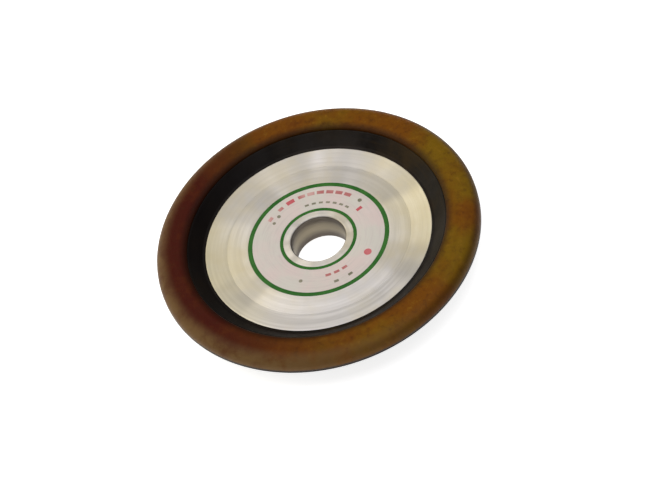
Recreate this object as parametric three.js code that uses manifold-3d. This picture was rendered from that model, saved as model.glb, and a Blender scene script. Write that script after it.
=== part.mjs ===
// A dish-shaped, resin-bonded diamond grinding wheel.
//
// A turned aluminium hub is moulded into a dark resin dish. The dish's raised rim carries a
// diamond-free backing layer and, on that, the amber diamond ring that does the grinding. A
// shallow seat in the hub's face holds the printed label ring between two green lacquer lines.
//
// Millimetres, +Z up. The origin is the centre of the spindle bore on the hub's back face, and +Z
// is the spindle axis, pointing out of the grinding side.

import * as THREE from 'three';
import { mergeVertices } from 'three/addons/utils/BufferGeometryUtils.js';
import Module from 'manifold-3d';

// Overall sizes
const wheelRadius = 75;
const wheelHeight = 22; // back of the hub to the top of the diamond ring

// Aluminium hub
const boreRadius = 12.7;
const boreChamfer = 0.5;
const hubThickness = 14.5; // at the bore
const bandRise = 1; // how far the front face's outer band climbs to the hub's edge
const frontFlangeThickness = 3; // hub rim in front of the keying groove
const rearFlangeThickness = 2.5; // hub rim behind the keying groove
const rearFlangeHeight = 5; // underside of the rear flange, above the back face
const backStep = 6.6; // how much smaller the hub's back is than its rim, all round
const grooveDepth = 3.6;
const grooveDraft = 0.6; // how far each side of the groove leans

// Keys that stop the hub turning in the dish
const keyCount = 8;
const notchWidth = 6;
const keyClearance = 0.3; // left round each key by the moulding's shrinkage

// Label seat in the hub's face, from the bore outwards
const labelDepth = 0.3;
const landWidth = 3.1; // bare metal between the bore's chamfer and the inner green line
const innerLineWidth = 1.6;
const labelWidth = 12.85;
const outerLineWidth = 2.1;

// Diamond ring
const ringWidth = 15;
const ringDepth = 5.4; // from its top to the backing layer
const innerShoulderWidth = 4;
const innerShoulderDrop = 1.6;
const outerShoulderWidth = 6.5;
const outerShoulderDrop = 5;
const backingThickness = 0.8;

// Moulded dish
const wallWidth = 7.4; // from the hub's edge to the diamond ring
const ledgeWidth = 1.4; // level step between the hub's edge and the recess wall
const ledgeFillet = 1.2;
const lipWidth = 0.5; // top of the recess wall, beside the diamond ring
const lipDrop = 0.2; // the lip stands this much below the diamond ring's inner edge
const rimLandHeight = 0.8; // upright edge of the dish under the backing layer
const bodySet = 0.6; // the dish's back sits this much above the hub's back face
const backFlatWidth = 12; // flat back of the dish, outwards from the hub
const backFillet = 3;

// Facets
const turnSegments = 72;
const shoulderSteps = 5;
const filletSteps = 3;

// Radii that several pieces share, inwards from the rim and outwards from the bore
const ringInnerRadius = wheelRadius - ringWidth;
const hubRadius = ringInnerRadius - wallWidth;
const hubBackRadius = hubRadius - backStep;
const grooveRadius = hubRadius - grooveDepth;
const boreEdgeRadius = boreRadius + boreChamfer;
const labelSeatInner = boreEdgeRadius + landWidth;
const labelInner = labelSeatInner + innerLineWidth;
const labelOuter = labelInner + labelWidth;
const labelSeatOuter = labelOuter + outerLineWidth;
const hubFlatRadius = (labelSeatOuter + hubRadius) / 2; // the rising band starts midway

// Heights that several pieces share, above the hub's back face
const backingTop = wheelHeight - ringDepth;
const seatHeight = backingTop - backingThickness;
const hubEdgeHeight = hubThickness + bandRise;
const frontFlangeBack = hubEdgeHeight - frontFlangeThickness;
const rearFlangeFront = rearFlangeHeight + rearFlangeThickness;
const labelFloor = hubThickness - labelDepth;

const colours = {
  aluminium: { color: 0xd2cdc6, roughness: 0.35, metalness: 1 },
  mouldedResin: { color: 0x2b2424, roughness: 0.45, metalness: 0 },
  backingResin: { color: 0x3a2a19, roughness: 0.6, metalness: 0 },
  diamondResin: { color: 0x73521b, roughness: 0.4, metalness: 0 },
  greenLacquer: { color: 0x2a6c1e, roughness: 0.4, metalness: 0 },
  labelCoat: { color: 0xe6dfdd, roughness: 0.55, metalness: 0 },
};

const { Manifold, Mesh } = await loadManifold();

async function loadManifold() {
  const wasm = await Module();
  wasm.setup();
  return wasm;
}

/** A point of a profile: radius and height. */
function at(radius, height) {
  return new THREE.Vector2(radius, height);
}

/** Points along an elliptical quarter from one corner point to another, bulging towards `corner`. */
function rounded(from, corner, to, steps) {
  const points = [];
  for (let i = 0; i <= steps; i += 1) {
    const angle = (i / steps) * Math.PI / 2;
    const alongFirst = 1 - Math.sin(angle);
    const alongSecond = 1 - Math.cos(angle);
    const point = corner.clone();
    point.addScaledVector(from.clone().sub(corner), alongFirst);
    point.addScaledVector(to.clone().sub(corner), alongSecond);
    points.push(point);
  }
  return points;
}

/** A fillet at `corner` between straight lines to the points before and after it. */
function filleted(before, corner, after, radius, steps) {
  const towardsBefore = before.clone().sub(corner).normalize();
  const towardsAfter = after.clone().sub(corner).normalize();
  const halfAngle = Math.acos(towardsBefore.dot(towardsAfter)) / 2;
  const reach = radius / Math.tan(halfAngle);
  const centreAway = radius / Math.sin(halfAngle);
  const middle = towardsBefore.clone().add(towardsAfter).normalize();
  const centre = corner.clone().addScaledVector(middle, centreAway);
  const start = corner.clone().addScaledVector(towardsBefore, reach).sub(centre);
  const end = corner.clone().addScaledVector(towardsAfter, reach).sub(centre);
  const sweep = Math.atan2(start.cross(end), start.dot(end));
  const points = [];
  for (let i = 0; i <= steps; i += 1) {
    const turned = start.clone().rotateAround(at(0, 0), (i / steps) * sweep);
    points.push(turned.add(centre));
  }
  return points;
}

/** A closed profile turned about the Z axis. It runs counter-clockwise, with radius to the right. */
function turned(profile) {
  const closed = [...profile, profile[0].clone()];
  const geometry = new THREE.LatheGeometry(closed, turnSegments);
  geometry.rotateX(Math.PI / 2);
  return geometry;
}

/** A three.js geometry as a solid that can be joined and cut. */
function asSolid(geometry) {
  const plain = geometry.clone();
  plain.deleteAttribute('normal');
  plain.deleteAttribute('uv');
  const merged = mergeVertices(plain, 1e-4);
  return new Manifold(new Mesh({
    numProp: 3,
    vertProperties: new Float32Array(merged.attributes.position.array),
    triVerts: withoutSlivers(merged.index.array),
  }));
}

/** The triangles that still have three different corners. */
function withoutSlivers(indices) {
  const kept = [];
  for (let i = 0; i < indices.length; i += 3) {
    const [a, b, c] = indices.slice(i, i + 3);
    if (a !== b && b !== c && c !== a) {
      kept.push(a, b, c);
    }
  }
  return new Uint32Array(kept);
}

/** A solid as a three.js geometry. */
function asGeometry(solid) {
  const { vertProperties, triVerts } = solid.getMesh();
  const geometry = new THREE.BufferGeometry();
  geometry.setAttribute('position', new THREE.BufferAttribute(vertProperties, 3));
  geometry.setIndex(new THREE.BufferAttribute(triVerts, 1));
  geometry.computeVertexNormals();
  return geometry;
}

/** Blocks spaced evenly round the rear flange, `clearance` smaller than the notches all round. */
function keyBlocks(clearance) {
  const overhang = 1;
  const width = notchWidth - 2 * clearance;
  const inner = grooveRadius + clearance;
  const depth = hubRadius + overhang - inner;
  const bottom = rearFlangeHeight - overhang;
  const height = rearFlangeFront + grooveDraft - bottom;
  let blocks = null;
  for (let i = 0; i < keyCount; i += 1) {
    const block = new THREE.BoxGeometry(depth, width, height);
    block.translate(inner + depth / 2, 0, bottom + height / 2);
    block.rotateZ(((i + 0.5) / keyCount) * 2 * Math.PI);
    const solid = asSolid(block);
    blocks = blocks ? blocks.add(solid) : solid;
  }
  return blocks;
}

/** The hub's outside from its back face up to its front edge, which the dish is moulded round. */
function hubRim(backHeight) {
  return [
    at(hubBackRadius, backHeight),
    at(hubBackRadius, rearFlangeHeight),
    at(hubRadius, rearFlangeHeight),
    at(hubRadius, rearFlangeFront),
    at(grooveRadius, rearFlangeFront + grooveDraft),
    at(grooveRadius, frontFlangeBack - grooveDraft),
    at(hubRadius, frontFlangeBack),
    at(hubRadius, hubEdgeHeight),
  ];
}

/** Turned hub: bore with both ends chamfered, label seat, rising outer band and keyed rim. */
function hubDisc() {
  const disc = turned([
    at(boreEdgeRadius, 0),
    ...hubRim(0),
    at(hubFlatRadius, hubThickness),
    at(labelSeatOuter, hubThickness),
    at(labelSeatOuter, labelFloor),
    at(labelSeatInner, labelFloor),
    at(labelSeatInner, hubThickness),
    at(boreEdgeRadius, hubThickness),
    at(boreRadius, hubThickness - boreChamfer),
    at(boreRadius, boreChamfer),
  ]);
  return asGeometry(asSolid(disc).subtract(keyBlocks(0)));
}

/** The dish's outside: flat back, cone out to the rim, upright land and the ring's seat. */
function dishOutside() {
  const backInner = at(hubBackRadius, bodySet);
  const backCorner = at(hubBackRadius + backFlatWidth, bodySet);
  const rimCorner = at(wheelRadius, seatHeight - rimLandHeight);
  return [
    ...filleted(backInner, backCorner, rimCorner, backFillet, filletSteps),
    rimCorner,
    at(wheelRadius, seatHeight),
    at(ringInnerRadius, seatHeight),
  ];
}

/** The recess wall, from its lip beside the diamond ring down to the ledge at the hub's edge. */
function recessWall() {
  const lipHeight = wheelHeight - innerShoulderDrop - lipDrop;
  const lipInner = at(ringInnerRadius - lipWidth, lipHeight);
  const foot = at(hubRadius + ledgeWidth, hubEdgeHeight);
  return [
    at(ringInnerRadius, lipHeight),
    lipInner,
    ...filleted(lipInner, foot, at(hubRadius, hubEdgeHeight), ledgeFillet, filletSteps),
  ];
}

/** Moulded dish: fills the hub's groove with a rib and its notches with keys. */
function dishBody() {
  const dish = turned([...dishOutside(), ...recessWall(), ...hubRim(bodySet).reverse()]);
  return asGeometry(asSolid(dish).add(keyBlocks(keyClearance)));
}

/** A flat ring of rectangular section. */
function flatRing(innerRadius, outerRadius, bottom, top) {
  return turned([
    at(innerRadius, bottom),
    at(outerRadius, bottom),
    at(outerRadius, top),
    at(innerRadius, top),
  ]);
}

/** Diamond ring: a flat crown between two rounded shoulders. */
function diamondRing() {
  const outerStart = at(wheelRadius, wheelHeight - outerShoulderDrop);
  const outerEnd = at(wheelRadius - outerShoulderWidth, wheelHeight);
  const innerStart = at(ringInnerRadius + innerShoulderWidth, wheelHeight);
  const innerEnd = at(ringInnerRadius, wheelHeight - innerShoulderDrop);
  return turned([
    at(ringInnerRadius, backingTop),
    at(wheelRadius, backingTop),
    ...rounded(outerStart, at(wheelRadius, wheelHeight), outerEnd, shoulderSteps),
    ...rounded(innerStart, at(ringInnerRadius, wheelHeight), innerEnd, shoulderSteps),
  ]);
}

/** A named piece with its own material. */
function piece(name, geometry, look) {
  const mesh = new THREE.Mesh(geometry, new THREE.MeshStandardMaterial(look));
  mesh.name = name;
  return mesh;
}

const innerLine = flatRing(labelSeatInner, labelInner, labelFloor, hubThickness);
const label = flatRing(labelInner, labelOuter, labelFloor, hubThickness);
const outerLine = flatRing(labelOuter, labelSeatOuter, labelFloor, hubThickness);
const backing = flatRing(ringInnerRadius, wheelRadius, seatHeight, backingTop);

const wheel = new THREE.Group();
wheel.add(
  piece('hub_disc', hubDisc(), colours.aluminium),
  piece('dish_body', dishBody(), colours.mouldedResin),
  piece('backing_layer', backing, colours.backingResin),
  piece('diamond_ring', diamondRing(), colours.diamondResin),
  piece('inner_green_ring', innerLine, colours.greenLacquer),
  piece('label_ring', label, colours.labelCoat),
  piece('outer_green_ring', outerLine, colours.greenLacquer),
);

export default wheel;
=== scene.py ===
"""Looks for the dish-shaped diamond grinding wheel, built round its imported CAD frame.

Each piece of the wheel is a closed profile turned round Z, and the print on its label is thin slabs.
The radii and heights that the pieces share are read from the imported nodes, and the smaller sizes of
each piece are named below.
"""

import math

import bpy
import numpy as np
from mathutils import Matrix, Vector


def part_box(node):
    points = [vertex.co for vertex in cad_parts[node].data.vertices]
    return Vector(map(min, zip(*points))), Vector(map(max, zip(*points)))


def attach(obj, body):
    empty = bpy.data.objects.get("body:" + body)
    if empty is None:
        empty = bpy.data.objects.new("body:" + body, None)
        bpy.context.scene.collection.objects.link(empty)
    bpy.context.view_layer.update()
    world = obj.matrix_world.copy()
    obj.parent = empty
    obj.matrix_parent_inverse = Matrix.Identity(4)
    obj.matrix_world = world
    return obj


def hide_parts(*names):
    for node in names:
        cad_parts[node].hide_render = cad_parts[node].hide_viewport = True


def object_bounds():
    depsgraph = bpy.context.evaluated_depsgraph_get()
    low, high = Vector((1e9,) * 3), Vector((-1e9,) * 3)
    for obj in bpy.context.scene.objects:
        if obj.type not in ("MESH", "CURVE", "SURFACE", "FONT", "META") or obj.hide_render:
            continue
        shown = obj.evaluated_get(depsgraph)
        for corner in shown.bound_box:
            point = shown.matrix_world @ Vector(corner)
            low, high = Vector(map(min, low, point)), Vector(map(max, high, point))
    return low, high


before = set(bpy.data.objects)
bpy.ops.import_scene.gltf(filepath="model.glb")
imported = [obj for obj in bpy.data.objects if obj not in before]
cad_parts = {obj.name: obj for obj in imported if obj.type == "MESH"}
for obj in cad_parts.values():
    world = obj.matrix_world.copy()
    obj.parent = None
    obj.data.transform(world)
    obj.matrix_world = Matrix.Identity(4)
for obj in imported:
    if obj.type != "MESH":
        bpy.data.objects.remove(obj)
cad_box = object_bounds()

MM = 0.001

# Steps round the axis
TURN_STEPS = 360
RING_TURN_STEPS = 1000

# Steps along the curves of a profile
EDGE_STEPS = 4
DISH_EDGE_STEPS = 6
OUTER_SHOULDER_STEPS = 18
INNER_SHOULDER_STEPS = 12
CROWN_STEPS = 10

# Edges that bend by more than this stay sharp
SHARP = math.radians(40)

# Hub
CHAMFER = 0.5 * MM
BROKEN_EDGE = 0.12 * MM
HUB_RIM_EDGE = 0.2 * MM
SEAT_EDGE = 0.05 * MM
SCRIBED_LINE = 0.06 * MM  # its depth, and half its width
SCRIBED_EDGE = 0.02 * MM
REAR_FLANGE_HEIGHT = 5 * MM
REAR_FLANGE = 2.5 * MM
FRONT_FLANGE = 3 * MM
GROOVE_DEPTH = 3.6 * MM
GROOVE_DRAFT = 0.6 * MM

# Keys of the dish in the notches of the hub's rear flange
KEY_COUNT = 8
NOTCH_WIDTH = 6 * MM
KEY_CLEARANCE = 0.3 * MM
KEY_OVERHANG = 1 * MM

# Waves that the turning tool leaves in the hub's faces: pitch and depth
TOOL_WAVES = [(2.7 * MM, 0.009 * MM), (0.95 * MM, 0.003 * MM)]
TOOL_STEP = 0.16 * MM
BAND_INSET = 0.4 * MM  # the outer band's waves start this far in from the hub's edge
BAND_DROP = 0.04 * MM  # and this far below it

# Dish
LEDGE_WIDTH = 1.4 * MM
LEDGE_FILLET = 1.2 * MM
LIP_WIDTH = 0.5 * MM
LIP_INNER_EDGE = 0.35 * MM
LIP_OUTER_EDGE = 0.1 * MM
RIM_LAND = 0.8 * MM
RIM_EDGE = 0.3 * MM
RIM_SEAM_EDGE = 0.05 * MM
BACK_FLAT = 12 * MM
BACK_FILLET = 3 * MM
MOULDED_EDGE = 0.12 * MM

# Backing, green lines and label
BACKING_EDGE = 0.08 * MM
LINE_EDGE = 0.06 * MM

# Diamond ring
INNER_SHOULDER = (4 * MM, 1.6 * MM)  # width and drop
OUTER_SHOULDER = (6.5 * MM, 5 * MM)
DRESSING_SEED = 41
DRESSING_DEPTH = 0.05 * MM
DRESSING_WAVES = [(3, 900), (7, 1500), (16, 2300)]  # waves round, and radians per metre across
PIT_DEPTH = 0.05 * MM
PIT_RARITY = 4  # the higher, the fewer deep pits
DRESSED_ABOVE = 0.5 * MM  # over the backing, where pits and marks reach their full depth

# Sides of the wheel, in degrees round from +X, towards which painted shade, the ring's painted edge light
# and the hub's painted warm highlights lie
SHADED_SIDE = 178
LIT_EDGE_SIDE = 195
WARM_HIGHLIGHT_SIDE = 178

# Print on the label: plain bars and dots, no lettering
PRINT_RISE = 0.03 * MM
PRINT_SINK = 0.02 * MM
BAR_STEPS = 4
DOT_STEPS = 24

# View: the camera looks down on the grinding side, and is rolled about its own line of sight.
VIEW_OFF_AXIS = math.radians(40.9)
VIEW_ROLL = math.radians(19.3)
VIEW_DISTANCE = 1.134
LENS_MM = 139.5
SENSOR_MM = 36
CLIP_START = 0.01
AIM_OFFSET = (0.0019, 0.0016)  # from the middle of the hub's face to the view's centre, right and down

# Studio: how strongly the world lights the wheel, how bright it looks, and the floor's own light
WORLD_LIGHT = 0.3
WORLD_LOOK = 1.0
FLOOR_GLOW = 0.78
FLOOR_HALF_WIDTH = 6.0


# ---------------------------------------------------------------- sizes read from the CAD frame


def radii(node):
    """Smallest and largest radius of a CAD node's corners."""
    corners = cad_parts[node].data.vertices
    found = [math.hypot(v.co.x, v.co.y) for v in corners]
    return min(found), max(found)


def lowest(node):
    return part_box(node)[0].z


def highest(node):
    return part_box(node)[1].z


BORE_RADIUS, HUB_RADIUS = radii("hub_disc")
DISH_INNER_RADIUS, WHEEL_RADIUS = radii("dish_body")
RING_INNER_RADIUS = radii("diamond_ring")[0]
LABEL_INNER, LABEL_OUTER = radii("label_ring")
SEAT_INNER = radii("inner_green_ring")[0]
SEAT_OUTER = radii("outer_green_ring")[1]
HUB_FLAT_RADIUS = (SEAT_OUTER + HUB_RADIUS) / 2
HUB_FACE = highest("label_ring")
HUB_EDGE = highest("hub_disc")
SEAT_FLOOR = lowest("label_ring")
DISH_BACK = lowest("dish_body")
DISH_LIP = highest("dish_body")
BACKING_BOTTOM = lowest("backing_layer")
BACKING_TOP = highest("backing_layer")
WHEEL_TOP = highest("diamond_ring")


# ---------------------------------------------------------------- profiles and meshes


def softened(corners, steps=EDGE_STEPS):
    """A profile through (radius, height, edge rounding) corners, each one rounded by a curve."""
    points = []
    for i, (r, z, rounding) in enumerate(corners):
        here = Vector((r, z))
        if rounding == 0:
            points.append(here)
            continue
        before = Vector(corners[i - 1][:2]) - here
        after = Vector(corners[(i + 1) % len(corners)][:2]) - here
        half = before.angle(after) / 2
        reach = rounding / math.tan(half)
        start = here + before.normalized() * reach
        end = here + after.normalized() * reach
        for k in range(steps + 1):
            t = k / steps
            points.append((1 - t) ** 2 * start + 2 * t * (1 - t) * here + t * t * end)
    return points


def tool_marked(start, end):
    """Corners along a turned face, cut a little below the straight line by the tool's waves."""
    start = Vector(start)
    end = Vector(end)
    length = (end - start).length
    steps = round(length / TOOL_STEP)
    corners = []
    for k in range(1, steps):
        reach = k / steps * length
        cut = sum(depth * (1 - math.cos(2 * math.pi * reach / pitch)) / 2 for pitch, depth in TOOL_WAVES)
        point = start.lerp(end, k / steps)
        corners.append((point.x, point.y - cut, 0))
    return corners


def quarter(start, corner, end, steps):
    """An elliptical quarter from start to end, bulging towards corner."""
    points = []
    for k in range(steps + 1):
        angle = k / steps * math.pi / 2
        first = (start - corner) * (1 - math.sin(angle))
        second = (end - corner) * (1 - math.cos(angle))
        points.append(corner + first + second)
    return points


def between_points(start, end, steps):
    """Evenly spaced points on a straight line, without its two ends."""
    return [start.lerp(end, k / steps) for k in range(1, steps)]


def turned(name, profile, steps=TURN_STEPS):
    """A closed profile of (radius, height) turned about Z as a new object."""
    count = len(profile)
    angles = np.arange(steps) * 2 * math.pi / steps
    radius = np.array([p[0] for p in profile])
    height = np.array([p[1] for p in profile])
    x = np.outer(np.cos(angles), radius)
    y = np.outer(np.sin(angles), radius)
    z = np.tile(height, (steps, 1))
    vertices = np.stack([x, y, z], axis=-1).reshape(-1, 3)
    copy = np.arange(steps)[:, None] * count
    next_copy = np.roll(copy, -1, axis=0)
    point = np.arange(count)[None, :]
    next_point = np.roll(point, -1, axis=1)
    faces = np.stack(
        [copy + point, next_copy + point, next_copy + next_point, copy + next_point],
        axis=-1,
    ).reshape(-1, 4)
    return made(name, vertices.tolist(), faces.tolist())


def flat_ring(name, inner, outer, bottom, top, rounding):
    """A ring of rectangular section, its two top edges rounded."""
    profile = softened([
        (inner, bottom, 0),
        (outer, bottom, 0),
        (outer, top, rounding),
        (inner, top, rounding),
    ])
    return turned(name, profile)


def slabs(name, outlines, bottom, top):
    """Each outline as a closed slab, all in one object."""
    vertices = []
    faces = []
    for outline in outlines:
        first = len(vertices)
        count = len(outline)
        vertices += [(x, y, bottom) for x, y in outline]
        vertices += [(x, y, top) for x, y in outline]
        faces.append([first + k for k in reversed(range(count))])
        faces.append([first + count + k for k in range(count)])
        for k in range(count):
            after = (k + 1) % count
            faces.append([first + k, first + after, first + count + after, first + count + k])
    return made(name, vertices, faces)


def made(name, vertices, faces):
    """A new object from vertices and faces, smooth except at its sharp edges."""
    mesh = bpy.data.meshes.new(name)
    mesh.from_pydata(vertices, [], faces)
    shade(mesh)
    piece = bpy.data.objects.new(name, mesh)
    bpy.context.scene.collection.objects.link(piece)
    return piece


def shade(mesh):
    mesh.polygons.foreach_set("use_smooth", [True] * len(mesh.polygons))
    mesh.set_sharp_from_angle(angle=SHARP)


def place(piece, slot, material, *nodes):
    """The piece is on the wheel's one body, and stands for those CAD nodes."""
    piece.data.materials.append(material)
    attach(piece, "root")
    if nodes:
        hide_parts(*nodes)


# ---------------------------------------------------------------- material nodes


class Nodes:
    """A material's node tree, with short calls that add and link its nodes."""

    def __init__(self, name):
        self.material = bpy.data.materials.new(name)
        self.material.use_nodes = True
        self.tree = self.material.node_tree
        self.shader = self.tree.nodes["Principled BSDF"]
        self.position = self.add("ShaderNodeTexCoord").outputs["Object"]

    def add(self, kind, **settings):
        node = self.tree.nodes.new(kind)
        for key, value in settings.items():
            setattr(node, key, value)
        return node

    def feed(self, socket, value):
        """A socket takes another node's output, or a constant."""
        if isinstance(value, bpy.types.NodeSocket):
            self.tree.links.new(value, socket)
        else:
            socket.default_value = value

    def math(self, operation, a, b=0.0):
        node = self.add("ShaderNodeMath", operation=operation)
        self.feed(node.inputs[0], a)
        self.feed(node.inputs[1], b)
        return node.outputs[0]

    def split(self):
        """The position's X, Y and Z, in metres."""
        node = self.add("ShaderNodeSeparateXYZ")
        self.feed(node.inputs[0], self.position)
        return node.outputs

    def radius(self):
        """Distance from the wheel's axis, in metres."""
        x, y, _ = self.split()
        squares = self.math("ADD", self.math("MULTIPLY", x, x), self.math("MULTIPLY", y, y))
        return self.math("SQRT", squares)

    def towards(self, degrees):
        """How far a point lies towards one side of the wheel, in metres."""
        node = self.add("ShaderNodeVectorMath", operation="DOT_PRODUCT")
        self.feed(node.inputs[0], self.position)
        turn = math.radians(degrees)
        node.inputs[1].default_value = (math.cos(turn), math.sin(turn), 0)
        return node.outputs["Value"]

    def noise(self, scale, detail, roughness, shift, where=None):
        """Cloudy noise from 0 to 1. Each shift gives another pattern."""
        node = self.add("ShaderNodeTexNoise", noise_dimensions="4D")
        self.feed(node.inputs["Vector"], self.position if where is None else where)
        node.inputs["W"].default_value = shift
        node.inputs["Scale"].default_value = scale
        node.inputs["Detail"].default_value = detail
        node.inputs["Roughness"].default_value = roughness
        return node.outputs["Fac"]

    def marks(self, across, round_axis, detail, roughness, shift):
        """Noise like tool marks: it changes fast across the radius and slowly round the axis."""
        x, y, z = self.split()
        radius = self.radius()
        turn = self.math("DIVIDE", round_axis, radius)
        node = self.add("ShaderNodeCombineXYZ")
        self.feed(node.inputs[0], self.math("MULTIPLY", x, turn))
        self.feed(node.inputs[1], self.math("MULTIPLY", y, turn))
        self.feed(node.inputs[2], self.math("MULTIPLY", self.math("ADD", radius, z), across))
        return self.noise(1.0, detail, roughness, shift, node.outputs[0])

    def cells(self, scale, shift):
        """Distance to the nearest of many scattered points, one for each grain."""
        node = self.add("ShaderNodeTexVoronoi", voronoi_dimensions="4D")
        self.feed(node.inputs["Vector"], self.position)
        node.inputs["W"].default_value = shift
        node.inputs["Scale"].default_value = scale
        return node.outputs["Distance"]

    def between(self, value, low, high, to_low, to_high):
        """Value from low to high, as a smooth step from to_low to to_high."""
        node = self.add("ShaderNodeMapRange", interpolation_type="SMOOTHSTEP")
        self.feed(node.inputs["Value"], value)
        node.inputs["From Min"].default_value = low
        node.inputs["From Max"].default_value = high
        node.inputs["To Min"].default_value = to_low
        node.inputs["To Max"].default_value = to_high
        return node.outputs["Result"]

    def rising(self, value, low, high, most=1.0):
        """Share from 0 where the value is low to most where it is high."""
        return self.between(value, low, high, 0.0, most)

    def falling(self, value, low, high, most=1.0):
        """Share from most where the value is low to 0 where it is high."""
        return self.between(value, low, high, most, 0.0)

    def mix(self, share, first, second):
        """The first colour, turning into the second as the share goes from 0 to 1."""
        node = self.add("ShaderNodeMix", data_type="RGBA")
        self.feed(node.inputs["Factor"], share)
        colours = [s for s in node.inputs if s.type == "RGBA"]
        self.feed(colours[0], first)
        self.feed(colours[1], second)
        return [s for s in node.outputs if s.type == "RGBA"][0]

    def bump(self, height, depth, normal=None):
        """Height from 0 to 1, as a relief of that depth in metres."""
        node = self.add("ShaderNodeBump")
        node.inputs["Strength"].default_value = 1.0
        node.inputs["Distance"].default_value = depth
        self.feed(node.inputs["Height"], height)
        if normal is not None:
            self.feed(node.inputs["Normal"], normal)
        return node.outputs["Normal"]

    def finish(self, colour, roughness, normal=None, **constants):
        """Feeds the shader. Constants are named after its sockets."""
        self.feed(self.shader.inputs["Base Color"], colour)
        self.feed(self.shader.inputs["Roughness"], roughness)
        if normal is not None:
            self.feed(self.shader.inputs["Normal"], normal)
        for key, value in constants.items():
            self.shader.inputs[key.replace("_", " ")].default_value = value
        return self.material


def srgb(red, green, blue):
    """A colour given as 0 to 255 on screen, as the linear colour that shaders use."""
    values = []
    for part in (red, green, blue):
        share = part / 255
        values.append(share / 12.92 if share <= 0.04045 else ((share + 0.055) / 1.055) ** 2.4)
    return (*values, 1.0)


# ---------------------------------------------------------------- material of the hub


METAL = srgb(200, 197, 195)
BRIGHT_METAL = srgb(216, 213, 211)
WARM_HIGHLIGHT_METAL = srgb(218, 208, 158)
SHADED_METAL = srgb(158, 156, 154)
SCRATCHED_METAL = srgb(170, 166, 162)
STAINED_METAL = srgb(200, 188, 150)
SHADED_BORE = srgb(92, 86, 76)
SHADED_GREY_BORE = srgb(112, 103, 95)
PALE_MIDDLE_BORE = srgb(158, 148, 126)


def turned_aluminium():
    """Turned metal, with broad and fine rings and stains, painted warm highlights and sheen on its faces,
    and painted shade in its bore.
    """
    n = Nodes("turned_aluminium")
    rings = n.marks(across=560, round_axis=0.8, detail=2.0, roughness=0.5, shift=1.0)
    fine = n.marks(across=3200, round_axis=2.4, detail=3.0, roughness=0.6, shift=2.0)
    stain = n.noise(scale=34, detail=4.0, roughness=0.6, shift=3.0)
    in_bore = n.falling(n.radius(), BORE_RADIUS + 0.1 * MM, BORE_RADIUS + 0.35 * MM)
    tone = n.mix(in_bore, turned_face(n, rings, fine, stain), bore_wall(n, fine))
    rough = n.math("ADD", n.between(rings, 0.3, 0.7, 0.36, 0.44), n.rising(stain, 0.4, 0.75, 0.08))
    normal = n.bump(fine, 0.003 * MM)
    normal = n.bump(rings, 0.005 * MM, normal)
    material = n.finish(
        tone, rough, normal, Metallic=1.0, Anisotropic=0.75, Anisotropic_Rotation=0.25
    )
    tangent = n.add("ShaderNodeTangent", direction_type="RADIAL", axis="Z")
    n.feed(n.shader.inputs["Tangent"], tangent.outputs[0])
    return material


def turned_face(n, rings, fine, stain):
    """Tone of the turned faces: painted warm highlights on two opposite sides, painted sectors of sheen
    and shade, and stains.
    """
    # painted sheen: sectors round the hub, lighter and darker as turned metal looks under light
    sheen = n.marks(across=12, round_axis=1.7, detail=2.0, roughness=0.5, shift=26.0)
    off_centre = n.math("ABSOLUTE", n.towards(WARM_HIGHLIGHT_SIDE))
    tone = n.mix(n.rising(rings, 0.35, 0.65), METAL, BRIGHT_METAL)
    # painted warm highlight, strongest on two opposite sides of the hub
    tone = n.mix(n.rising(off_centre, 24 * MM, 52 * MM, 0.4), tone, WARM_HIGHLIGHT_METAL)
    # painted shade in the sectors between the painted sheen
    tone = n.mix(n.falling(sheen, 0.38, 0.62, 0.6), tone, SHADED_METAL)
    tone = n.mix(n.rising(fine, 0.5, 0.8, 0.3), tone, SCRATCHED_METAL)
    return n.mix(n.rising(stain, 0.42, 0.72, 0.5), tone, STAINED_METAL)


def bore_wall(n, fine):
    """Tone of the bore's wall: painted shade in dark grey, paler in the middle of its height."""
    from_middle = n.math("ABSOLUTE", n.math("SUBTRACT", n.split()[2], HUB_FACE / 2))
    # painted shade: the bore's metal kept dark grey
    tone = n.mix(n.rising(fine, 0.35, 0.65), SHADED_BORE, SHADED_GREY_BORE)
    return n.mix(n.falling(from_middle, 0.5 * MM, 5.5 * MM, 0.75), tone, PALE_MIDDLE_BORE)


# ---------------------------------------------------------------- materials of the dish and its backing


BLACK_RESIN = srgb(12, 8, 7)
BROWN_RESIN = srgb(34, 28, 21)
FLOWED_RESIN = srgb(42, 31, 15)
GREY_RESIN = srgb(42, 40, 40)
OCHRE_RESIN = srgb(52, 38, 16)
SHADED_RESIN = srgb(7, 3, 3)
FILLER_SPECK = srgb(62, 52, 40)
DARK_BACKING = srgb(44, 30, 18)
PALE_BACKING = srgb(66, 47, 26)
BACKING_SPECK = srgb(30, 22, 15)


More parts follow.
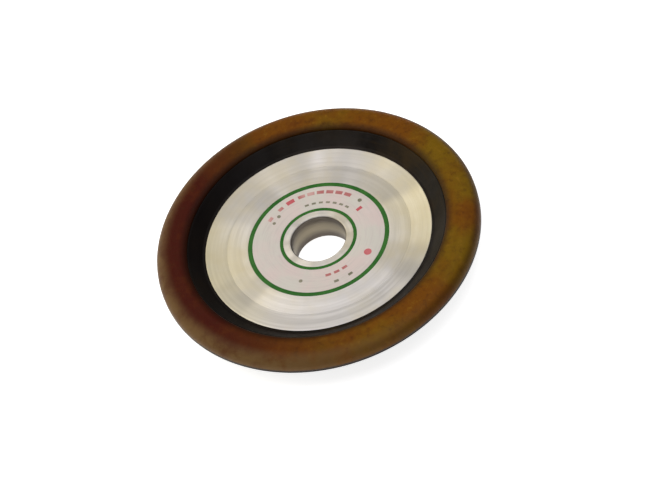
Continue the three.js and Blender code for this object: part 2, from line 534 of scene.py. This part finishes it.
def moulded_resin():
    """Dark moulded resin: cloudy brown-black, with fine grain, a few pale specks of filler, and painted
    shade that turns it near black towards one side.
    """
    n = Nodes("moulded_resin")
    cloud = n.noise(scale=60, detail=5.0, roughness=0.6, shift=5.0)
    patch = n.noise(scale=26, detail=5.0, roughness=0.6, shift=7.0)
    flow = n.marks(across=420, round_axis=3.0, detail=3.0, roughness=0.6, shift=4.0)
    grain = n.noise(scale=1400, detail=3.0, roughness=0.6, shift=6.0)
    towards_shade = n.towards(SHADED_SIDE)
    tone = n.mix(n.rising(cloud, 0.35, 0.68), BLACK_RESIN, BROWN_RESIN)
    tone = n.mix(n.rising(flow, 0.45, 0.75, 0.5), tone, FLOWED_RESIN)
    tone = n.mix(n.rising(patch, 0.44, 0.66, 0.7), tone, GREY_RESIN)
    tone = n.mix(n.falling(patch, 0.32, 0.5, 0.7), tone, OCHRE_RESIN)
    # painted shade: near black towards one side
    tone = n.mix(n.rising(towards_shade, -20 * MM, 45 * MM, 0.85), tone, SHADED_RESIN)
    tone = n.mix(n.rising(grain, 0.62, 0.8, 0.3), tone, FILLER_SPECK)
    rough = n.math("ADD", n.between(cloud, 0.3, 0.7, 0.4, 0.52), n.rising(grain, 0.4, 0.8, 0.1))
    normal = n.bump(grain, 0.03 * MM)
    normal = n.bump(flow, 0.06 * MM, normal)
    return n.finish(tone, rough, normal, Specular_IOR_Level=0.08)


def backing_resin():
    """Plain brown resin with fine dark grain."""
    n = Nodes("backing_resin")
    cloud = n.noise(scale=240, detail=4.0, roughness=0.6, shift=8.0)
    grain = n.noise(scale=2600, detail=2.0, roughness=0.6, shift=9.0)
    tone = n.mix(n.rising(cloud, 0.35, 0.65), DARK_BACKING, PALE_BACKING)
    tone = n.mix(n.rising(grain, 0.6, 0.8, 0.5), tone, BACKING_SPECK)
    rough = n.between(cloud, 0.3, 0.7, 0.5, 0.65)
    return n.finish(tone, rough, n.bump(grain, 0.04 * MM), Specular_IOR_Level=0.3)


# ---------------------------------------------------------------- material of the diamond ring


BROWN_AMBER = srgb(110, 64, 3)
GREEN_AMBER = srgb(112, 84, 6)
PALE_AMBER = srgb(136, 98, 24)
SHADED_RED_AMBER = srgb(64, 14, 3)
RUSTY_BLOTCH = srgb(84, 38, 5)
DARK_MOTTLE = srgb(58, 28, 6)
LIT_EDGE_AMBER = srgb(106, 82, 50)
SHADED_INSIDE_AMBER = srgb(30, 11, 3)
SHADED_EDGE_AMBER = srgb(48, 26, 8)
GLINT_SPECK = srgb(128, 92, 34)
DARK_GRIT = srgb(36, 20, 5)


def diamond_resin():
    """Amber resin, cloudy and mottled, with painted shade darker and redder towards one side, painted
    light and shade at its edges, a small dark pit at each grain of grit, and pale specks painted as
    glints.
    """
    n = Nodes("diamond_resin")
    cloud = n.noise(scale=30, detail=4.0, roughness=0.55, shift=11.0)
    blotch = n.noise(scale=110, detail=5.0, roughness=0.65, shift=12.0)
    mottle = n.noise(scale=330, detail=4.0, roughness=0.7, shift=15.0)
    grit = n.cells(scale=2400, shift=13.0)
    specks = n.noise(scale=2600, detail=2.0, roughness=0.6, shift=14.0)
    spread = n.math("MULTIPLY", n.math("SUBTRACT", cloud, 0.5), 90 * MM)
    towards_shade = n.math("ADD", n.towards(SHADED_SIDE), spread)
    tone = n.mix(n.rising(cloud, 0.4, 0.62), BROWN_AMBER, GREEN_AMBER)
    tone = n.mix(n.falling(mottle, 0.3, 0.46, 0.45), tone, PALE_AMBER)
    # painted shade: darker and redder towards one side
    tone = n.mix(n.rising(towards_shade, -15 * MM, 55 * MM), tone, SHADED_RED_AMBER)
    tone = n.mix(n.rising(blotch, 0.48, 0.72, 0.5), tone, RUSTY_BLOTCH)
    tone = n.mix(n.rising(mottle, 0.5, 0.7, 0.45), tone, DARK_MOTTLE)
    tone = edges_lit_and_shaded(n, tone, blotch)
    # painted glints: small pale specks of the grit
    tone = n.mix(n.rising(specks, 0.62, 0.78, 0.3), tone, GLINT_SPECK)
    tone = n.mix(n.falling(grit, 0.0, 0.22, 0.45), tone, DARK_GRIT)
    rough = n.math("ADD", n.between(blotch, 0.3, 0.7, 0.38, 0.5), n.falling(grit, 0.0, 0.4, 0.12))
    normal = n.bump(grit, 0.04 * MM)
    normal = n.bump(blotch, 0.1 * MM, normal)
    return n.finish(tone, rough, normal, Specular_IOR_Level=0.06)


def edges_lit_and_shaded(n, tone, blotch):
    """The tone with painted shade along its inner edge, and along its outer edge painted light, in
    patches, on one side and painted shade on the other.
    """
    radius = n.radius()
    # the side where the outer edge takes painted light, with painted shade opposite
    lit_side = n.between(n.towards(LIT_EDGE_SIDE), -40 * MM, 60 * MM, 0.1, 1.0)
    outside = n.rising(radius, WHEEL_RADIUS - 8 * MM, WHEEL_RADIUS - 1.2 * MM)
    patchy = n.between(blotch, 0.3, 0.6, 0.4, 0.9)
    # painted light on the outer edge, patchy, strongest on one side
    lit_rim = n.math("MULTIPLY", n.math("MULTIPLY", outside, lit_side), patchy)
    # painted shade along the inner edge, next to the recess
    inner_shade = n.falling(radius, RING_INNER_RADIUS, RING_INNER_RADIUS + 4.5 * MM, 0.8)
    # painted shade on the outer edge, on the side away from the painted light
    edge = n.rising(radius, WHEEL_RADIUS - 3.5 * MM, WHEEL_RADIUS - 0.8 * MM, 0.7)
    shaded_rim = n.math("MULTIPLY", edge, n.math("SUBTRACT", 1.0, lit_side))
    tone = n.mix(lit_rim, tone, LIT_EDGE_AMBER)
    tone = n.mix(inner_shade, tone, SHADED_INSIDE_AMBER)
    return n.mix(shaded_rim, tone, SHADED_EDGE_AMBER)


# ---------------------------------------------------------------- materials of the lines, label and print


DEEP_GREEN = srgb(22, 92, 16)
PALE_GREEN = srgb(44, 106, 32)
PINKISH_COAT = srgb(213, 198, 195)
GREYISH_COAT = srgb(205, 202, 195)
COAT_RING = srgb(195, 186, 184)
PALE_COAT = srgb(221, 214, 210)


def green_lacquer():
    """Green lacquer with a faint flow round the axis."""
    n = Nodes("green_lacquer")
    cloud = n.noise(scale=150, detail=3.0, roughness=0.6, shift=16.0)
    flow = n.marks(across=2600, round_axis=6.0, detail=3.0, roughness=0.6, shift=17.0)
    tone = n.mix(n.rising(cloud, 0.35, 0.65), DEEP_GREEN, PALE_GREEN)
    rough = n.between(cloud, 0.3, 0.7, 0.36, 0.5)
    return n.finish(tone, rough, n.bump(flow, 0.02 * MM), Specular_IOR_Level=0.25)


def label_coat():
    """Thin pale coat that lets the turned rings below it show through."""
    n = Nodes("label_coat")
    rings = n.marks(across=1300, round_axis=2.0, detail=3.0, roughness=0.6, shift=19.0)
    cloud = n.noise(scale=110, detail=4.0, roughness=0.6, shift=20.0)
    tint = n.noise(scale=60, detail=3.0, roughness=0.6, shift=21.0)
    tone = n.mix(n.rising(tint, 0.36, 0.64), PINKISH_COAT, GREYISH_COAT)
    tone = n.mix(n.rising(rings, 0.45, 0.75, 0.6), tone, COAT_RING)
    tone = n.mix(n.rising(cloud, 0.5, 0.8, 0.5), tone, PALE_COAT)
    rough = n.between(cloud, 0.3, 0.7, 0.46, 0.6)
    return n.finish(tone, rough, n.bump(rings, 0.012 * MM), Specular_IOR_Level=0.3)


def print_ink(name, dark, pale, shift):
    """Ink that fades slowly over the label, so each bar or dot keeps nearly one even tone."""
    n = Nodes(name)
    faded = n.noise(scale=75, detail=1.0, roughness=0.5, shift=shift)
    grain = n.noise(scale=2400, detail=2.0, roughness=0.6, shift=shift + 0.5)
    tone = n.mix(n.rising(faded, 0.38, 0.64), dark, pale)
    rough = n.between(faded, 0.3, 0.7, 0.5, 0.66)
    return n.finish(tone, rough, n.bump(grain, 0.008 * MM), Specular_IOR_Level=0.3)


# ---------------------------------------------------------------- the wheel


def hub_rim(back_height, edge_rounding):
    """The hub's rim from its back up to its front edge. The dish is moulded round the same line."""
    rear_front = REAR_FLANGE_HEIGHT + REAR_FLANGE
    front_back = HUB_EDGE - FRONT_FLANGE
    groove_radius = HUB_RADIUS - GROOVE_DEPTH
    return [
        (DISH_INNER_RADIUS, back_height, edge_rounding),
        (DISH_INNER_RADIUS, REAR_FLANGE_HEIGHT, 0),
        (HUB_RADIUS, REAR_FLANGE_HEIGHT, 0),
        (HUB_RADIUS, rear_front, 0),
        (groove_radius, rear_front + GROOVE_DRAFT, 0),
        (groove_radius, front_back - GROOVE_DRAFT, 0),
        (HUB_RADIUS, front_back, 0),
        (HUB_RADIUS, HUB_EDGE, edge_rounding),
    ]


def key_blocks(clearance):
    """Blocks spaced evenly round the rear flange, smaller than the notches by the clearance."""
    half_width = NOTCH_WIDTH / 2 - clearance
    inner = HUB_RADIUS - GROOVE_DEPTH + clearance
    outer = HUB_RADIUS + KEY_OVERHANG
    bottom = REAR_FLANGE_HEIGHT - KEY_OVERHANG
    top = REAR_FLANGE_HEIGHT + REAR_FLANGE + GROOVE_DRAFT
    corners = [(inner, -half_width), (outer, -half_width), (outer, half_width), (inner, half_width)]
    outlines = []
    for i in range(KEY_COUNT):
        turn = (i + 0.5) / KEY_COUNT * 2 * math.pi
        cos = math.cos(turn)
        sin = math.sin(turn)
        outlines.append([(x * cos - y * sin, x * sin + y * cos) for x, y in corners])
    return slabs("key_blocks", outlines, bottom, top)


def with_keys(piece, operation, clearance):
    """Cuts the blocks from a piece or joins them to it."""
    blocks = key_blocks(clearance)
    modifier = piece.modifiers.new("keys", "BOOLEAN")
    modifier.operation = operation
    modifier.solver = "EXACT"
    modifier.object = blocks
    shape = piece.evaluated_get(bpy.context.evaluated_depsgraph_get())
    mesh = bpy.data.meshes.new_from_object(shape)
    piece.modifiers.clear()
    piece.data = mesh
    shade(mesh)
    bpy.data.objects.remove(blocks)


def hub():
    """Turned hub, from the edge of its bore round the back and rim to the face and down the bore."""
    edge = BORE_RADIUS + CHAMFER
    line_out = HUB_FLAT_RADIUS + SCRIBED_LINE
    line_in = HUB_FLAT_RADIUS - SCRIBED_LINE
    band_start = (HUB_RADIUS - BAND_INSET, HUB_EDGE - BAND_DROP)
    profile = softened([
        (edge, 0, BROKEN_EDGE),
        *hub_rim(0, HUB_RIM_EDGE),
        *tool_marked(band_start, (line_out, HUB_FACE)),
        (line_out, HUB_FACE, SCRIBED_EDGE),
        (HUB_FLAT_RADIUS, HUB_FACE - SCRIBED_LINE, SCRIBED_EDGE),
        (line_in, HUB_FACE, SCRIBED_EDGE),
        *tool_marked((line_in, HUB_FACE), (SEAT_OUTER, HUB_FACE)),
        (SEAT_OUTER, HUB_FACE, SEAT_EDGE),
        (SEAT_OUTER, SEAT_FLOOR, 0),
        (SEAT_INNER, SEAT_FLOOR, 0),
        (SEAT_INNER, HUB_FACE, SEAT_EDGE),
        *tool_marked((SEAT_INNER, HUB_FACE), (edge, HUB_FACE)),
        (edge, HUB_FACE, BROKEN_EDGE / 2),
        (BORE_RADIUS, HUB_FACE - CHAMFER, BROKEN_EDGE),
        (BORE_RADIUS, CHAMFER, BROKEN_EDGE),
    ])
    piece = turned("hub_turned", profile)
    with_keys(piece, "DIFFERENCE", 0)
    place(piece, "hub_aluminium", turned_aluminium(), "hub_disc")


def dish():
    """Moulded dish: its rib fills the hub's groove, and its lip stands round the recess."""
    lip_inner = RING_INNER_RADIUS - LIP_WIDTH
    foot = HUB_RADIUS + LEDGE_WIDTH
    profile = softened([
        *reversed(hub_rim(DISH_BACK, MOULDED_EDGE)),
        (DISH_INNER_RADIUS + BACK_FLAT, DISH_BACK, BACK_FILLET),
        (WHEEL_RADIUS, BACKING_BOTTOM - RIM_LAND, RIM_EDGE),
        (WHEEL_RADIUS, BACKING_BOTTOM, RIM_SEAM_EDGE),
        (RING_INNER_RADIUS, BACKING_BOTTOM, 0),
        (RING_INNER_RADIUS, DISH_LIP, LIP_OUTER_EDGE),
        (lip_inner, DISH_LIP, LIP_INNER_EDGE),
        (foot, HUB_EDGE, LEDGE_FILLET),
    ], DISH_EDGE_STEPS)
    piece = turned("dish_moulded", profile)
    with_keys(piece, "UNION", KEY_CLEARANCE)
    place(piece, "dish_resin", moulded_resin(), "dish_body")


def backing():
    piece = flat_ring(
        "backing_band", RING_INNER_RADIUS, WHEEL_RADIUS, BACKING_BOTTOM, BACKING_TOP, BACKING_EDGE
    )
    place(piece, "backing_resin", backing_resin(), "backing_layer")


def diamond_ring():
    """Raised ring with a rounded shoulder on each side of its flat crown."""
    outer_start = Vector((WHEEL_RADIUS, WHEEL_TOP - OUTER_SHOULDER[1]))
    outer_end = Vector((WHEEL_RADIUS - OUTER_SHOULDER[0], WHEEL_TOP))
    inner_start = Vector((RING_INNER_RADIUS + INNER_SHOULDER[0], WHEEL_TOP))
    inner_end = Vector((RING_INNER_RADIUS, WHEEL_TOP - INNER_SHOULDER[1]))
    profile = [
        Vector((RING_INNER_RADIUS, BACKING_TOP)),
        Vector((WHEEL_RADIUS, BACKING_TOP)),
        *quarter(outer_start, Vector((WHEEL_RADIUS, WHEEL_TOP)), outer_end, OUTER_SHOULDER_STEPS),
        *between_points(outer_end, inner_start, CROWN_STEPS),
        *quarter(inner_start, Vector((RING_INNER_RADIUS, WHEEL_TOP)), inner_end, INNER_SHOULDER_STEPS),
    ]
    piece = turned("diamond_rim", profile, RING_TURN_STEPS)
    dress(piece.data)
    place(piece, "diamond_resin", diamond_resin(), "diamond_ring")


def dress(mesh):
    """Sinks the surface by open grit pits and by the long shallow marks of the dressing stick."""
    draw = np.random.default_rng(DRESSING_SEED)
    count = len(mesh.vertices)
    points = np.empty(count * 3)
    normals = np.empty(count * 3)
    mesh.vertices.foreach_get("co", points)
    mesh.vertices.foreach_get("normal", normals)
    points = points.reshape(-1, 3)
    normals = normals.reshape(-1, 3)
    radius = np.hypot(points[:, 0], points[:, 1])
    turn = np.arctan2(points[:, 1], points[:, 0])
    marks = np.zeros(count)
    for waves_round, waves_across in DRESSING_WAVES:
        phase = draw.uniform(0, 2 * math.pi)
        marks += np.sin(waves_round * turn + waves_across * radius + phase)
    marks = (marks / len(DRESSING_WAVES) + 1) / 2
    pits = draw.random(count) ** PIT_RARITY
    share = np.clip((points[:, 2] - BACKING_TOP) / DRESSED_ABOVE, 0, 1)
    sunk = share * (PIT_DEPTH * pits + DRESSING_DEPTH * marks)
    points -= normals * sunk[:, None]
    mesh.vertices.foreach_set("co", points.reshape(-1))
    mesh.update()


def rings():
    """The two green lines and the label between them, laid in the hub's seat."""
    heights = (SEAT_FLOOR, HUB_FACE)
    green = green_lacquer()
    inner = flat_ring("inner_green_line", SEAT_INNER, LABEL_INNER, *heights, LINE_EDGE)
    place(inner, "green_lacquer", green, "inner_green_ring")
    outer = flat_ring("outer_green_line", LABEL_OUTER, SEAT_OUTER, *heights, LINE_EDGE)
    place(outer, "green_lacquer", green, "outer_green_ring")
    label = flat_ring("label_face", LABEL_INNER, LABEL_OUTER, *heights, LINE_EDGE)
    place(label, "label_coat", label_coat(), "label_ring")


# ---------------------------------------------------------------- print on the label


def arc_bar(radius, height, degrees, width):
    """Outline of a bar that follows the label round: its height is across the label."""
    inner = radius - height / 2
    outer = radius + height / 2
    half = width / 2 / radius
    middle = math.radians(degrees)
    turns = [middle - half + 2 * half * k / BAR_STEPS for k in range(BAR_STEPS + 1)]
    outline = [(outer * math.cos(t), outer * math.sin(t)) for t in turns]
    outline += [(inner * math.cos(t), inner * math.sin(t)) for t in reversed(turns)]
    return outline


def dot(radius, degrees, size):
    """Outline of a round dot."""
    middle = math.radians(degrees)
    x = radius * math.cos(middle)
    y = radius * math.sin(middle)
    turns = [2 * math.pi * k / DOT_STEPS for k in range(DOT_STEPS)]
    return [(x + size / 2 * math.cos(t), y + size / 2 * math.sin(t)) for t in turns]


def row(radius, height, first, last, count, width):
    """Bars spaced evenly from the first to the last place round the label, in degrees."""
    spaces = [first + (last - first) * k / (count - 1) for k in range(count)]
    return [arc_bar(radius, height, degrees, width) for degrees in spaces]


def printed(name, outlines, ink):
    """Each outline as a thin slab of ink, let a little way into the label."""
    piece = slabs(name, outlines, HUB_FACE - PRINT_SINK, HUB_FACE + PRINT_RISE)
    place(piece, "print_ink", ink)


def label_print():
    faded_red = print_ink("faded_red_ink", srgb(178, 108, 108), srgb(204, 164, 160), 23.0)
    red = print_ink("red_ink", srgb(190, 84, 94), srgb(200, 112, 118), 24.0)
    grey = print_ink("grey_ink", srgb(112, 112, 92), srgb(160, 154, 138), 25.0)
    printed("print_red_bars", [
        *row(radius=27.4 * MM, height=1.9 * MM, first=45, last=92, count=6, width=3.4 * MM),
        *row(radius=27.0 * MM, height=1.7 * MM, first=116, last=131, count=2, width=2.6 * MM),
        *row(radius=22.3 * MM, height=1.4 * MM, first=267, last=288, count=3, width=2.6 * MM),
    ], faded_red)
    printed("print_red_spots", [
        dot(radius=25.6 * MM, degrees=318, size=3.6 * MM),
        arc_bar(radius=23.8 * MM, height=3.0 * MM, degrees=22, width=1.6 * MM),
        arc_bar(radius=27.3 * MM, height=2.2 * MM, degrees=104, width=4.0 * MM),
    ], red)
    printed("print_grey_bars", [
        *row(radius=21.2 * MM, height=1.1 * MM, first=36, last=90, count=7, width=1.9 * MM),
        dot(radius=27.3 * MM, degrees=30, size=2.0 * MM),
        dot(radius=24.6 * MM, degrees=124, size=1.8 * MM),
        dot(radius=24.2 * MM, degrees=134, size=1.6 * MM),
        *row(radius=27.2 * MM, height=1.3 * MM, first=273, last=288, count=2, width=2.2 * MM),
        dot(radius=24.6 * MM, degrees=236, size=1.8 * MM),
    ], grey)


# ---------------------------------------------------------------- floor, light and camera


def floor():
    """Pale floor under the wheel, with a little light of its own so that it stays white."""
    half = FLOOR_HALF_WIDTH
    level = cad_box[0].z
    corners = [(-half, -half, level), (half, -half, level), (half, half, level), (-half, half, level)]
    piece = made("floor", corners, [(0, 1, 2, 3)])
    n = Nodes("pale_floor")
    cloud = n.noise(scale=3.0, detail=2.0, roughness=0.5, shift=30.0)
    tone = n.mix(cloud, srgb(240, 240, 240), srgb(244, 244, 244))
    material = n.finish(
        tone, 0.9, Specular_IOR_Level=0.1,
        Emission_Color=(1, 1, 1, 1), Emission_Strength=FLOOR_GLOW,
    )
    piece.data.materials.append(material)


def softbox(name, degrees, elevation, distance, size, power, colour):
    """A square light that faces the wheel from that many degrees round from +X."""
    turn = math.radians(degrees)
    rise = math.radians(elevation)
    level = distance * math.cos(rise)
    away = Vector((level * math.cos(turn), level * math.sin(turn), distance * math.sin(rise)))
    data = bpy.data.lights.new(name, "AREA")
    data.shape = "SQUARE"
    data.size = size
    data.energy = power
    data.color = colour
    light = bpy.data.objects.new(name, data)
    light.location = away
    light.rotation_euler = (-away).to_track_quat("-Z", "Y").to_euler()
    bpy.context.scene.collection.objects.link(light)


def studio():
    """A white world that looks brighter behind the wheel than the light it gives."""
    world = bpy.data.worlds.new("studio")
    world.use_nodes = True
    tree = world.node_tree
    background = tree.nodes["Background"]
    background.inputs["Color"].default_value = (1, 1, 1, 1)
    rays = tree.nodes.new("ShaderNodeLightPath")
    strength = tree.nodes.new("ShaderNodeMapRange")
    strength.inputs["To Min"].default_value = WORLD_LIGHT
    strength.inputs["To Max"].default_value = WORLD_LOOK
    tree.links.new(rays.outputs["Is Camera Ray"], strength.inputs["Value"])
    tree.links.new(strength.outputs["Result"], background.inputs["Strength"])
    bpy.context.scene.world = world


def lights():
    """Two large soft boxes: one overhead, and a warmer, lower one behind the wheel on its left."""
    softbox(
        "overhead", degrees=90, elevation=86, distance=1.8, size=2.0, power=18,
        colour=(0.99, 0.97, 1.0),
    )
    softbox(
        "key", degrees=140, elevation=34, distance=2.0, size=2.4, power=26,
        colour=(1.0, 0.9, 0.66),
    )


def camera():
    """A camera in front of the wheel, aimed near the middle of the hub's face."""
    aim = Vector((0, 0, HUB_FACE))
    away = Vector((0, -math.sin(VIEW_OFF_AXIS), math.cos(VIEW_OFF_AXIS)))
    right = Vector((1, 0, 0))
    up = away.cross(right)
    turned_right = right * math.cos(VIEW_ROLL) - up * math.sin(VIEW_ROLL)
    turned_up = right * math.sin(VIEW_ROLL) + up * math.cos(VIEW_ROLL)
    centre = aim + turned_right * AIM_OFFSET[0] - turned_up * AIM_OFFSET[1]
    data = bpy.data.cameras.new("camera")
    data.lens = LENS_MM
    data.sensor_width = SENSOR_MM
    data.clip_start = CLIP_START
    piece = bpy.data.objects.new("camera", data)
    turn = Matrix((turned_right, turned_up, away)).transposed().to_4x4()
    piece.matrix_world = Matrix.Translation(centre + away * VIEW_DISTANCE) @ turn
    bpy.context.scene.collection.objects.link(piece)
    bpy.context.scene.camera = piece


camera()
hub()
dish()
backing()
diamond_ring()
rings()
label_print()
floor()
studio()
lights()
bpy.context.scene.view_settings.view_transform = "Standard"
